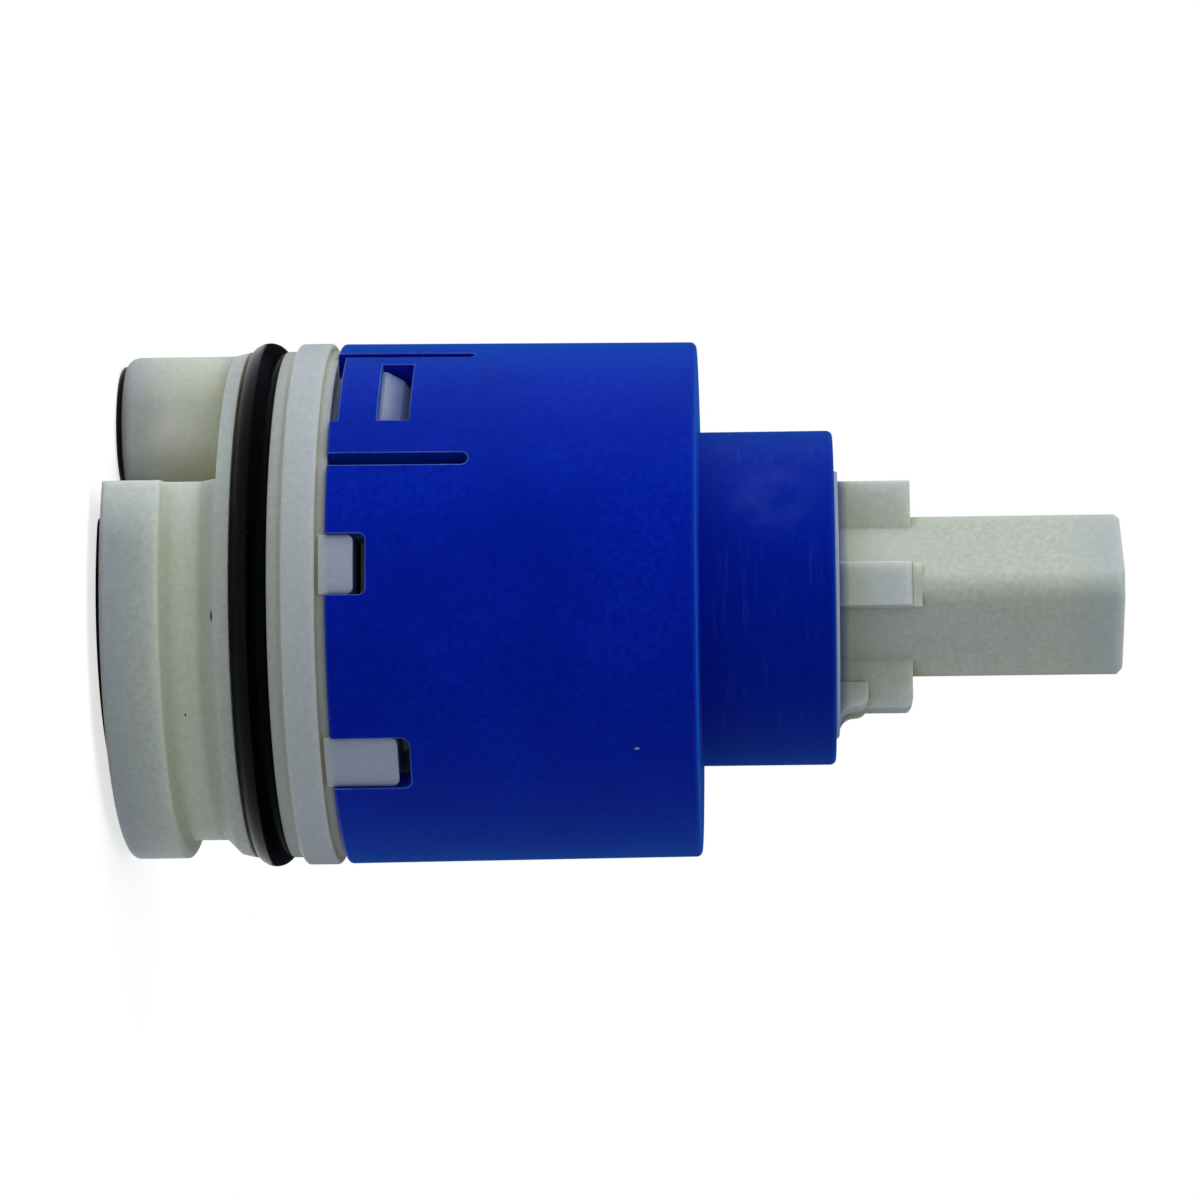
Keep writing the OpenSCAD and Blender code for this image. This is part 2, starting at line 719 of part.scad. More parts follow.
// Slot in which the lever's blade and arm swing
module lever_slot() {
    translate([-arm_slot_x, -slot_half_w, drum_z])
        cube([2 * arm_slot_x, 2 * slot_half_w, rim_z]);
    translate([-tube_r - over, -slot_half_w, slot_floor_z])
        cube([tube_r + over + slot_end_x, 2 * slot_half_w, rim_z]);
    translate([0, -slot_half_w, rim_z]) cube([tube_r, 2 * slot_half_w, heel_h + over]);
}

module rotor() {
    turn_room = turn_angle + asin((stop_half_w + side_gap) / stop_recess_r);
    color(white_resin) difference() {
        union() {
            difference() {
                rotate_extrude() polygon([
                    [0, drum_z], [drum_r - edge_r, drum_z], [drum_r, drum_z + edge_r],
                    [drum_r, drum_top_z - edge_r], [drum_r - edge_r, drum_top_z],
                    [tube_r, drum_top_z], [tube_r, rim_z - fine_edge_r],
                    [tube_r - fine_edge_r, rim_z], [0, rim_z]]);
                translate([0, 0, dish_z]) cylinder(r = dish_r, h = rim_z - dish_z + over);
                beyond_flat(rim_relief_x, mouth_z - side_gap, rim_z);
            }
            heel();
        }
        lever_slot();
        translate([-channel_x, -boss_flat_y - pin_gap, drum_z - over])
            cube([2 * channel_x, 2 * (boss_flat_y + pin_gap), channel_top_z - drum_z + over]);
        translate([0, 0, pin_z]) rotate([90, 0, 0])
            cylinder(r = pin_r + press, h = 4 * tube_r, center = true);
        translate([0, 0, rotor_ring_z])
            ring(rotor_ring_out_r - rotor_ring_cord - slip, tube_r + over,
                rotor_ring_cord + 2 * slip);
        rotate([0, 0, 90]) translate([0, 0, stop_z - side_gap])
            ring_sector(stop_recess_r, drum_r + over, stop_h + over, turn_room);
    }
}

module rotor_o_ring() {
    color(black_rubber)
        o_ring(rotor_ring_out_r, rotor_ring_cord, rotor_ring_z + rotor_ring_cord / 2 + slip);
}

module slide_ring() {
    color(bronze) translate([0, 0, drum_top_z])
        ring(tube_r + side_gap, stop_recess_r - fit, slide_ring_t);
}

module hinge_pin() {
    chamfer = 0.3;
    color(steel) translate([0, pin_half_l, pin_z]) rotate([90, 0, 0]) rotate_extrude() polygon([
        [0, 0], [pin_r - chamfer, 0], [pin_r, chamfer],
        [pin_r, 2 * pin_half_l - chamfer], [pin_r - chamfer, 2 * pin_half_l], [0, 2 * pin_half_l]]);
}

// Square with rounded corners, its diagonals along X and Y
module stem_plan() {
    inner = stem_w - 2 * stem_corner_r;
    rotate(45) {
        square([stem_w, inner], center = true);
        square([inner, stem_w], center = true);
        for (x = [-1, 1], y = [-1, 1]) translate([x, y] * inner / 2) circle(r = stem_corner_r);
    }
}

// Reach of the square stem's rounded corners from its axis
function stem_corner_reach() = stem_w / 2 * sqrt(2) - stem_corner_r * (sqrt(2) - 1);

// Square stem, chamfered at its free end
module square_stem() {
    half = stem_w / 2;
    corner = stem_corner_reach();
    h = stem_top_z - stem_foot_z;
    bevelled = [[-half, 0], [half, 0], [half, h - stem_edge], [half - stem_edge, h],
        [stem_edge - half, h], [-half, h - stem_edge]];
    translate([0, 0, stem_foot_z]) intersection() {
        linear_extrude(h) stem_plan();
        for (a = [45, 135]) rotate([90, 0, a])
            linear_extrude(2 * stem_w, center = true) polygon(bevelled);
        rotate_extrude() polygon([
            [0, 0], [corner + over, 0], [corner + over, h - stem_edge - over],
            [corner - stem_edge, h], [0, h]]);
    }
}

// Blade with rounded ends and softened upper corners, narrowing to the hinge hub
module blade() {
    intersection() {
        translate([0, blade_t / 2, 0]) rotate([90, 0, 0]) linear_extrude(blade_t) polygon(concat(
            [[-hub_r, pin_z], [hub_r, pin_z], [blade_r, blade_z]],
            arc([blade_r - blade_low_edge_r, blade_top_z - blade_low_edge_r], blade_low_edge_r, 0, 90),
            arc([blade_edge_r - blade_r, blade_top_z - blade_edge_r], blade_edge_r, 90, 180),
            [[-blade_r, blade_z]]));
        translate([0, 0, pin_z - over]) cylinder(r = blade_r, h = blade_top_z);
    }
}

// Cross ribs that stand out of the blade, towards -Y and +Y, each with a fillet onto the stem
module ribs() {
    h = blade_top_z - stem_foot_z;
    corner = stem_corner_reach();
    for (a = [90, 270]) rotate([0, 0, a]) translate([0, 0, stem_foot_z])
        rotate([90, 0, 0]) linear_extrude(rib_t, center = true) polygon(concat(
            [[0, 0], [rib_r, 0]],
            arc([rib_r - rib_edge_r, h - rib_edge_r], rib_edge_r, 0, 90),
            arc([corner + rib_fillet_r, h + rib_fillet_r], rib_fillet_r, 270, 180),
            [[0, h + rib_fillet_r]]));
}

module lever_stem() {
    color(white_resin) difference() {
        union() {
            square_stem();
            blade();
            ribs();
            translate([0, 0, pin_z]) {
                rotate([90, 0, 0]) cylinder(r = hub_r, h = blade_t, center = true);
                rotate([0, 180 + half_tilt, 0]) {
                    cylinder(r = arm_r, h = arm_len);
                    translate([0, 0, arm_len]) sphere(r = ball_r);
                }
            }
        }
        translate([0, 0, pin_z]) rotate([90, 0, 0])
            cylinder(r = pin_r + pin_gap, h = blade_t + 2 * over, center = true);
    }
}

base();
inlet_gasket();
outlet_port_seal();
body_o_ring();
housing();
disc_seal_hot();
disc_seal_cold();
disc_seal_outlet();
fixed_disc();
moving_disc();
silencer_mesh();
chamber_seal();
disc_carrier();
ball_bush();
rotor();
rotor_o_ring();
slide_ring();
hinge_pin();
lever_stem();
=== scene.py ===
# %% [markdown]
# A mixer tap cartridge, lit and finished in Blender.
# The shape comes ready as nineteen solids, one per real piece, each riding on the body that carries it.
# So this lesson is about surfaces: moulded acetal in white and blue, black nitrile rubber, lapped ceramic,
# stainless steel and bronze, and then the light and the camera that let them read as themselves.

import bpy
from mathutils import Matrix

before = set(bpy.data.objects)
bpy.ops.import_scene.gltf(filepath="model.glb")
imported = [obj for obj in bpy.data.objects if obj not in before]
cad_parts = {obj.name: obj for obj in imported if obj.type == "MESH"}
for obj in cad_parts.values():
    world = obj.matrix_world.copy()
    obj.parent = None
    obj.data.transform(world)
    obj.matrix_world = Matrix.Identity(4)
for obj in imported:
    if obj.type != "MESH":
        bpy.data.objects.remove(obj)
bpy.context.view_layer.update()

# %% [markdown]
# Two small helpers carry every material below.
# Colours are written as sRGB hex, the way a screen value is read, while shaders work in linear light. The
# first helper turns one into the other.
# Patterns are sized in millimetres: a noise texture whose scale is 1000 / s, on coordinates in metres, has
# blotches about s millimetres across. The second helper works that scale out.

# %% Colour and scale helpers
import bpy
import math
from mathutils import Matrix, Vector

MM = 0.001


def linear(hex_colour):
    """Linear RGBA of an sRGB colour such as #1A2B3C."""
    parts = [int(hex_colour[i:i + 2], 16) / 255 for i in (1, 3, 5)]
    return [p / 12.92 if p <= 0.04045 else ((p + 0.055) / 1.055) ** 2.4 for p in parts] + [1.0]


def per_mm(size):
    """Texture scale at which a pattern repeats about every size millimetres."""
    return 1 / (size * MM)


print("mid grey in linear light:", [round(v, 3) for v in linear("#808080")[:3]])

# %% [markdown]
# A shader is a tree of nodes, so one function is enough to write it down.
# It adds a node, sets it up and fills its sockets. A socket is named, or counted among those that the node
# shows with its present settings. Another node given as a value is linked from its first visible output,
# and a plain value is set on the socket itself.

# %% One function that adds a node


def add(tree, kind, inputs=None, **settings):
    """Adds a shader node, with inputs as a map from a socket's name or number to what goes in it."""
    node = tree.nodes.new("ShaderNode" + kind)
    for name, value in settings.items():
        setattr(node, name, value)
    shown = [socket for socket in node.inputs if socket.enabled]
    for key, value in (inputs or {}).items():
        socket = shown[key] if isinstance(key, int) else next(s for s in shown if s.name == key)
        if isinstance(value, bpy.types.Node):
            value = next(s for s in value.outputs if s.enabled)
        if isinstance(value, bpy.types.NodeSocket):
            tree.links.new(value, socket)
        else:
            socket.default_value = value
    return node


print("kinds of shader node on offer:", sum(kind.startswith("ShaderNode") for kind in dir(bpy.types)))

# %% [markdown]
# Real edges are never perfectly sharp, and handling polishes and bruises them first.
# A Bevel node gives the normal that a slightly rounded edge would have. Where it departs from the surface's
# own normal there is an edge, which makes a mask for wear and for a painted edge highlight.
# Ambient occlusion does the opposite: it finds the corners where shade gathers, for painted shade, and where
# tarnish collects on metal. Seen at a short reach it finds seams, and at a long reach whole recesses.

# %% Masks for edges, corners and single marks
EDGE_ROUNDING_MM = 0.13
SEAM_REACH_MM = 1.6
RECESS_REACH_MM = 4.5


def edge_mask(tree, rounding=EDGE_ROUNDING_MM):
    """The normal of the rounded edges, and a mask that is 1 along edges and 0 on open faces."""
    rounded = add(tree, "Bevel", {"Radius": rounding * MM}, samples=6)
    flat = add(tree, "NewGeometry").outputs["Normal"]
    likeness = add(tree, "VectorMath", {0: rounded, 1: flat}, operation="DOT_PRODUCT")
    # On a knife edge the rounded normal can turn away from the eye and draw a black line, so it gives way.
    knife = add(tree, "MapRange", {0: likeness, 1: 0.5, 2: 0.3})
    gentle = add(tree, "Mix", {0: knife, 1: rounded, 2: flat}, data_type="VECTOR")
    return gentle, add(tree, "MapRange", {0: likeness, 1: 0.985, 2: 0.86})


def hollow_mask(tree, reach, open_from=0.85, closed_to=0.25):
    """1 where the surface is hemmed in within reach, in mm, and 0 where it is open."""
    seen = add(tree, "AmbientOcclusion", {"Distance": reach * MM}, samples=8).outputs["AO"]
    return add(tree, "MapRange", {0: seen, 1: open_from, 2: closed_to})


def mark(tree, place, centre_mm, half_size_mm):
    """1 inside an ellipsoid at one spot on the object, fading to 0 at its edge."""
    offset = add(tree, "VectorMath", {0: place, 1: [c * MM for c in centre_mm]}, operation="SUBTRACT")
    scaled = add(tree, "VectorMath", {0: offset, 1: [per_mm(h) for h in half_size_mm]}, operation="MULTIPLY")
    distance = add(tree, "VectorMath", {0: scaled}, operation="LENGTH")
    return add(tree, "MapRange", {0: distance, 1: 1.0, 2: 0.55})


def new_material(name):
    """An empty node material, its tree, and the place on the object in metres."""
    material = bpy.data.materials.new(name)
    material.use_nodes = True
    tree = material.node_tree
    tree.nodes.clear()
    return material, tree, add(tree, "TexCoord").outputs["Object"]


print("edges rounded by", EDGE_ROUNDING_MM, "mm; seams within", SEAM_REACH_MM, "mm; recesses within",
      RECESS_REACH_MM, "mm")

# %% [markdown]
# The white pieces are natural acetal, a slippery engineering plastic, injection moulded.
# Uncoloured acetal is milky: light enters a little way and comes out beside where it entered. That softens
# every change from light to shade, and makes thin walls glow. Subsurface scattering of a few millimetres
# does both.
# Light that has been back and forth in a recess has passed through the resin again and again and comes out
# warmer, and that warm light is painted into recesses; the cool tone of the tent is painted on open rims and
# ends, and blue bounce light inside the blue housing. Painted patches of light and shade carry what is left:
# thin walls, corners lit from two sides, shade.

# %% Sizes in the white resin
ACETAL_IOR = 1.48
MOTTLE_MM = 0.38
DRIFT_MM = 5.0
GLOW_DEPTH_MM = 2.8
FLOOR_SHADE_MM = 1.5    # below this the floor hems the piece in, and that isn't a recess
HOUSING_FROM_MM, HOUSING_TO_MM = 15.6, 48.3     # between these heights the housing is round the piece
HOUSING_FADE_MM = 0.6   # and the painted blue light and shade fade in over this height
NICK_AT_LIP = ((3.1, -16.1, 8.0), (0.5, 0.8, 0.1))
SPECK_ON_WAIST = ((9.05, -13.0, 5.95), (0.16, 0.16, 0.08))

# Painted patches of light and shade: centre and half size in mm, colour, strength. Later ones lie on top.
BASE_PAINTED_LIGHT = [
    ((0, 0, 6.0), (60, 60, 2.6), "#CED6C6", 0.8),           # the waist, where the wall is thin
    ((0, 0, -2.0), (60, 60, 8.0), "#A5AEB6", 0.8),          # the foot's rim
    ((-12, 0, 5.5), (9, 11, 6), "#D4D9CC", 0.7),            # the thin tube of the outlet collar
    ((-9.6, -6, 3.0), (3.4, 7, 7), "#F0F0E6", 0.8),         # its side towards the flat, which lights it
    ((-9.6, 6, 3.0), (3.4, 7, 7), "#F0F0E6", 0.8),
    ((-12.2, -6, 0.8), (2.6, 4, 3.2), "#AEB5B4", 0.6),      # its end towards -Y, in the foot's shade
    ((-8.2, -14.8, 3.0), (7, 6, 9), "#DCE4E2", 0.85),       # the corners beside the flat, lit from two sides
    ((-8.2, 14.8, 3.0), (7, 6, 9), "#DCE4E2", 0.85),
    ((0, 0, 8.3), (60, 60, 1.6), "#A6AFAE", 0.65),          # the lower lip
    ((0, 0, 17.5), (80, 80, 9.0), "#BBC3C9", 0.85),         # the guide flange
]
# Painted light and shade on the lever, in the same columns.
LEVER_PAINTED_LIGHT = [
    ((0, 0, 50.0), (8, 12, 7), "#C8CEC4", 0.6),             # the blade, lit from both faces
    ((0, 0, 69.5), (30, 30, 6.5), "#B5BDBF", 0.8),          # the stem's end
    ((0, -6.5, 50.5), (2.6, 3.0, 4.5), "#C3CACD", 0.8),     # the ribs
    ((0, 6.5, 50.5), (2.6, 3.0, 4.5), "#C3CACD", 0.8),
    ((9.6, 0, 50.0), (4.4, 12, 8), "#BAC1C6", 0.8),         # the blade's two ends
    ((-9.6, 0, 50.0), (4.4, 12, 8), "#CBD1D2", 0.8),
]
print("light wanders", GLOW_DEPTH_MM, "mm in the white resin")

# %% [markdown]
# First comes the resin's own colour, before anything round it has a say: a fine mottle from the flow of the
# melt and a slow drift. On it lie the soft patches of painted light and shade.

# %% The white resin's own colour, with painted patches of light and shade


def mottled_white(tree, place, pale, dull, painted_patches):
    """The resin's colour with painted patches of light and shade on it, and the mottle and the drift it is
    made from.
    """
    mottle = add(tree, "TexNoise", {"Vector": place, "Scale": per_mm(MOTTLE_MM), "Detail": 3.0,
                                    "Roughness": 0.6})
    drift = add(tree, "TexNoise", {"Vector": place, "Scale": per_mm(DRIFT_MM), "Detail": 2.0})
    even = add(tree, "MapRange", {0: mottle, 1: 0.3, 2: 0.7})
    colour = add(tree, "Mix", {0: even, 1: linear(pale), 2: linear(dull)}, data_type="RGBA")
    drifted = add(tree, "MapRange", {0: drift, 1: 0.35, 2: 0.75, 3: 0.0, 4: 0.5})
    colour = add(tree, "Mix", {0: drifted, 1: colour, 2: linear(dull)}, data_type="RGBA")
    # each patch lays painted light and shade on the resin's colour
    for centre, half_size, tone, strength in painted_patches:
        patch = mark(tree, place, centre, half_size)
        there = add(tree, "Math", {0: patch, 1: strength}, operation="MULTIPLY")
        colour = add(tree, "Mix", {0: there, 1: colour, 2: linear(tone)}, data_type="RGBA")
    return colour, mottle, drift


print("patches of tone on the base:", len(BASE_PAINTED_LIGHT), "and on the lever:", len(LEVER_PAINTED_LIGHT))

# %% [markdown]
# Then the neighbours' light and shade are painted on. Recesses get painted warm bounce light, except near the
# floor; what stands in the blue housing gets painted blue light, and painted shade the deeper it lies; and
# seams get a little painted shade, uneven along them.

# %% Painted light and shade from what lies round the white resin


def white_among_others(tree, place, colour, drift, warm):
    """The colour with painted light and shade from the recesses, the housing and the seams laid on it."""
    height = add(tree, "SeparateXYZ", {0: place}).outputs["Z"]
    above = add(tree, "MapRange", {0: height, 1: (HOUSING_FROM_MM - HOUSING_FADE_MM) * MM,
                                   2: HOUSING_FROM_MM * MM})
    below = add(tree, "MapRange", {0: height, 1: (HOUSING_TO_MM + HOUSING_FADE_MM) * MM,
                                   2: HOUSING_TO_MM * MM})
    in_blue = add(tree, "Math", {0: above, 1: below}, operation="MULTIPLY")
    # painted blue light, bounced off the housing's walls
    painted_blue_bounce = add(tree, "Math", {0: in_blue, 1: 0.75}, operation="MULTIPLY")

    # painted warm bounce light in recesses, kept away from where the floor hems the piece in
    recess = hollow_mask(tree, RECESS_REACH_MM, open_from=0.95, closed_to=0.55)
    off_floor = add(tree, "MapRange", {0: height, 1: FLOOR_SHADE_MM * MM, 2: 3 * FLOOR_SHADE_MM * MM,
                                       3: 0.0, 4: 0.6})
    painted_warm_bounce = add(tree, "Math", {0: recess, 1: off_floor}, operation="MULTIPLY")

    # painted shade in the seams, uneven along them, and deep inside the housing
    uneven_shade = add(tree, "MapRange", {0: drift, 1: 0.3, 2: 0.7, 3: 0.35, 4: 0.75})
    seams = add(tree, "Math", {0: hollow_mask(tree, SEAM_REACH_MM), 1: uneven_shade}, operation="MULTIPLY")
    deep = add(tree, "MapRange", {0: recess, 1: 0.0, 2: 0.6})
    deep_blue = add(tree, "Math", {0: deep, 1: in_blue}, operation="MULTIPLY")
    shaded = add(tree, "Math", {0: seams, 1: deep_blue}, operation="MAXIMUM")
    shade = add(tree, "Mix", {0: in_blue, 1: linear("#8B8B76"), 2: linear("#6F7EA6")}, data_type="RGBA")

    for there, tone in ((painted_warm_bounce, linear(warm)), (painted_blue_bounce, linear("#A1AEC5")), (shaded, shade)):
        colour = add(tree, "Mix", {0: there, 1: colour, 2: tone}, data_type="RGBA")
    return colour


print("the housing is round the white pieces from", HOUSING_FROM_MM, "to", HOUSING_TO_MM, "mm")

# %% [markdown]
# Every moulded face carries the mould's marks. Thick places sink a few hundredths of a millimetre as they
# cool, so reflections wave, and the spark-eroded steel leaves its satin grain. Both are bumps, laid over each
# other: each takes the normal that the one before it gives.

# %% Marks that a mould leaves
GRAIN_MM = 0.22     # the true grain is about 0.05 mm; it is drawn coarser so that it shows


def sink_waves(tree, place, normal, across_mm, depth_mm, strength):
    """The normal of a face that waves where the moulding has sunk."""
    sink = add(tree, "TexNoise", {"Vector": place, "Scale": per_mm(across_mm), "Detail": 1.0})
    return add(tree, "Bump", {"Height": sink, "Distance": depth_mm * MM, "Strength": strength,
                              "Normal": normal})


def mould_grain(tree, place, normal, depth_mm, strength):
    """The normal of a face with the mould's grain on it."""
    grain = add(tree, "TexNoise", {"Vector": place, "Scale": per_mm(GRAIN_MM), "Detail": 2.0,
                                   "Roughness": 0.7})
    return add(tree, "Bump", {"Height": grain, "Distance": depth_mm * MM, "Strength": strength,
                              "Normal": normal})


print("mould grain drawn", GRAIN_MM, "mm across")

# %% [markdown]
# The whole white material is these layers one on the other, then pale edges, partly wear and partly a painted
# highlight, and small dark marks, and last the shader. The base and the lever differ in tone, the lever
# greener as if from another batch, and in their painted patches of light and shade and their dark marks.

# %% White acetal, moulded


def white_acetal(name, pale, dull, warm, painted_patches, dark_marks):
    """Natural acetal, with painted patches of light and shade and small dark marks."""
    material, tree, place = new_material(name)
    colour, mottle, drift = mottled_white(tree, place, pale, dull, painted_patches)
    colour = white_among_others(tree, place, colour, drift, warm)
    speckle = add(tree, "MapRange", {0: mottle, 1: 0.3, 2: 0.7, 3: 1.04, 4: 0.94})
    colour = add(tree, "Mix", {0: 1.0, 1: colour, 2: speckle}, data_type="RGBA", blend_type="MULTIPLY")

    # pale edges: partly real wear, partly a painted edge highlight
    rounded, edges = edge_mask(tree)
    wear_and_highlight = add(tree, "MapRange", {0: mottle, 1: 0.35, 2: 0.65, 3: 0.05, 4: 0.3})
    pale_marks = add(tree, "Math", {0: edges, 1: wear_and_highlight}, operation="MULTIPLY")
    colour = add(tree, "Mix", {0: pale_marks, 1: colour, 2: linear("#E2E8EA")}, data_type="RGBA")
    for centre, half_size in dark_marks:
        there = mark(tree, place, centre, half_size)
        colour = add(tree, "Mix", {0: there, 1: colour, 2: linear("#2B2D28")}, data_type="RGBA")

    waves = sink_waves(tree, place, rounded, across_mm=3.2, depth_mm=0.035, strength=0.6)
    skin = mould_grain(tree, place, waves, depth_mm=0.012, strength=0.6)
    roughness = add(tree, "MapRange", {0: mottle, 1: 0.25, 2: 0.75, 3: 0.38, 4: 0.54})
    shader = add(tree, "BsdfPrincipled", {
        "Base Color": colour, "Roughness": roughness, "IOR": ACETAL_IOR, "Specular IOR Level": 0.3,
        "Subsurface Weight": 0.75, "Subsurface Radius": (1.0, 0.98, 0.8),
        "Subsurface Scale": GLOW_DEPTH_MM * MM, "Normal": skin})
    add(tree, "OutputMaterial", {"Surface": shader})
    print("made", name)
    return material


base_white = white_acetal("acetal_white_moulded_base", pale="#D6DDD0", dull="#C0C9B9", warm="#D4D2B0",
                          painted_patches=BASE_PAINTED_LIGHT, dark_marks=[NICK_AT_LIP, SPECK_ON_WAIST])
lever_white = white_acetal("acetal_white_moulded_lever", pale="#C8CEC5", dull="#BCC4B7", warm="#B8C098",
                           painted_patches=LEVER_PAINTED_LIGHT, dark_marks=[])

# %% [markdown]
# The housing is the same plastic with blue pigment through and through, and its mould leaves it a little
# glossier.
# Pigment stops the light near the skin, so there is no glow from inside, only a deep even colour. Light that
# strikes at a low angle is scattered by the topmost pigment, and gives a soft azure bloom; that is sheen.
# Where the plastic is scraped it turns pale and chalky rather than showing another colour.
# The neck slides in and out of a nut, so it carries a haze of fine scuffs round it; the edges of the slots
# have a thin light line, partly from handling and partly a painted edge highlight.

# %% Scuffs round the blue neck
SCUFF_ROUND_MM = 5.0    # how long a scuff runs round the neck
SCUFF_UP_MM = 0.35      # and how high it is
NECK_FROM_MM, NECK_TO_MM = 39.4, 47.9
NECK_FADE_IN_MM, NECK_FADE_OUT_MM = 1.0, 1.5


def neck_scuffs(tree, place, height, patches):
    """1 where streaks round the neck have scraped its skin."""
    above = add(tree, "MapRange", {0: height, 1: NECK_FROM_MM * MM, 2: (NECK_FROM_MM + NECK_FADE_IN_MM) * MM})
    below = add(tree, "MapRange", {0: height, 1: NECK_TO_MM * MM, 2: (NECK_TO_MM - NECK_FADE_OUT_MM) * MM})
    on_neck = add(tree, "Math", {0: above, 1: below}, operation="MULTIPLY")
    along = (per_mm(SCUFF_ROUND_MM), per_mm(SCUFF_ROUND_MM), per_mm(SCUFF_UP_MM))
    stretched = add(tree, "Mapping", {"Vector": place, "Scale": along})
    streaks = add(tree, "TexNoise", {"Vector": stretched, "Scale": 1.0, "Detail": 4.0, "Roughness": 0.7})
    crisp = add(tree, "MapRange", {0: streaks, 1: 0.5, 2: 0.72})
    here_and_there = add(tree, "MapRange", {0: patches, 1: 0.4, 2: 0.65})
    streaky = add(tree, "Math", {0: crisp, 1: here_and_there}, operation="MULTIPLY")
    return add(tree, "Math", {0: streaky, 1: on_neck}, operation="MULTIPLY")


print("the neck is scuffed from", NECK_FROM_MM, "to", NECK_TO_MM, "mm")

# %% [markdown]
# The blue material itself: the colour and its clouds, painted shade in the seams, a slightly darker neck,
# then scuffs, pale edges that are partly wear and partly a painted highlight, one pale speck, and the same
# mould marks as on the white resin.

# %% Blue acetal, moulded
BLUE_MOTTLE_MM = 0.4
BLUE_CLOUD_MM = 7.0
BLUE_PATCH_MM = 3.0
SCUFFED_PATCH = ((-5.2, -9.9, 43.6), (3.6, 3.0, 3.6))
PALE_SPECK = ((11.6, -12.94, 35.0), (0.16, 0.16, 0.28))


def blue_acetal(name):
    """Moulded blue acetal with scuffs round the neck, painted shade in the seams, and pale edges that are
    partly wear and partly a painted highlight.
    """
    material, tree, place = new_material(name)
    mottle = add(tree, "TexNoise", {"Vector": place, "Scale": per_mm(BLUE_MOTTLE_MM), "Detail": 3.0})
    cloud = add(tree, "TexNoise", {"Vector": place, "Scale": per_mm(BLUE_CLOUD_MM), "Detail": 2.0})
    patches = add(tree, "TexNoise", {"Vector": place, "Scale": per_mm(BLUE_PATCH_MM), "Detail": 3.0,
                                     "Roughness": 0.65})
    even = add(tree, "MapRange", {0: mottle, 1: 0.3, 2: 0.7})
    clouded = add(tree, "MapRange", {0: cloud, 1: 0.35, 2: 0.7, 3: 0.0, 4: 0.6})
    # painted shade in the seams
    seams = add(tree, "Math", {0: hollow_mask(tree, SEAM_REACH_MM), 1: 0.7}, operation="MULTIPLY")
    height = add(tree, "SeparateXYZ", {0: place}).outputs["Z"]
    past_shoulder = add(tree, "MapRange", {0: height, 1: (NECK_FROM_MM - 0.5) * MM, 2: NECK_FROM_MM * MM,
                                           3: 0.0, 4: 0.6})

    scuffs = neck_scuffs(tree, place, height, patches)
    uneven = add(tree, "MapRange", {0: patches, 1: 0.35, 2: 0.7})
    haze = add(tree, "Math", {0: mark(tree, place, *SCUFFED_PATCH), 1: uneven}, operation="MULTIPLY")
    most = add(tree, "Math", {0: scuffs, 1: haze}, operation="MAXIMUM")
    pale_marks = add(tree, "Math", {0: most, 1: 0.07}, operation="MULTIPLY")
    # pale edges of the slots and rims: partly wear from handling, partly a painted edge highlight
    rounded, edges = edge_mask(tree)
    wear_and_highlight = add(tree, "MapRange", {0: patches, 1: 0.3, 2: 0.65, 3: 0.45, 4: 1.0})
    lighter_edges = add(tree, "Math", {0: edges, 1: wear_and_highlight}, operation="MULTIPLY")
    speck = mark(tree, place, *PALE_SPECK)

    # among these tones the seams' darker blue is painted shade, and the pale edges are partly wear and partly
    # a painted highlight
    colour = linear("#0720B4")
    for there, tone in ((even, "#02119F"), (clouded, "#011296"), (seams, "#020790"),
                        (past_shoulder, "#01148E"), (pale_marks, "#6E8FE0"), (lighter_edges, "#7E98E4"),
                        (speck, "#C9D2EE")):
        colour = add(tree, "Mix", {0: there, 1: colour, 2: linear(tone)}, data_type="RGBA")

    waves = sink_waves(tree, place, rounded, across_mm=4.5, depth_mm=0.03, strength=0.5)
    scratched = add(tree, "Bump", {"Height": scuffs, "Distance": 0.01 * MM, "Strength": 0.5, "Normal": waves},
                    invert=True)
    skin = mould_grain(tree, place, scratched, depth_mm=0.014, strength=0.7)
    satin = add(tree, "MapRange", {0: mottle, 1: 0.25, 2: 0.75, 3: 0.33, 4: 0.43})
    dulled = add(tree, "Math", {0: pale_marks, 1: 0.6, 2: satin}, operation="MULTIPLY_ADD", use_clamp=True)
    shader = add(tree, "BsdfPrincipled", {
        "Base Color": colour, "Roughness": dulled, "IOR": ACETAL_IOR, "Specular IOR Level": 0.18,
        "Specular Tint": linear("#3098FF"), "Sheen Weight": 0.65, "Sheen Roughness": 0.48,
        "Sheen Tint": linear("#1488FF"), "Normal": skin})
    add(tree, "OutputMaterial", {"Surface": shader})
    print("made", name)
    return material


housing_blue = blue_acetal("acetal_blue_moulded")

# %% [markdown]
# The seals are nitrile rubber, pressed in a two-part mould and wiped with silicone grease.
# Carbon black makes it almost light-proof, so what the eye sees is only its skin: a soft wide sheen,
# broken by fine flow lines that run round the ring, with specks of pale dust that the grease has caught.

# %% Nitrile rubber, moulded
NITRILE_IOR = 1.52
FLOW_ROUND_MM = 9.0     # how long a flow line runs round the ring
FLOW_UP_MM = 0.28       # and how high it is
BLOOM_MM = 2.2
DUST_MM = 0.9
PORE_MM = 0.18


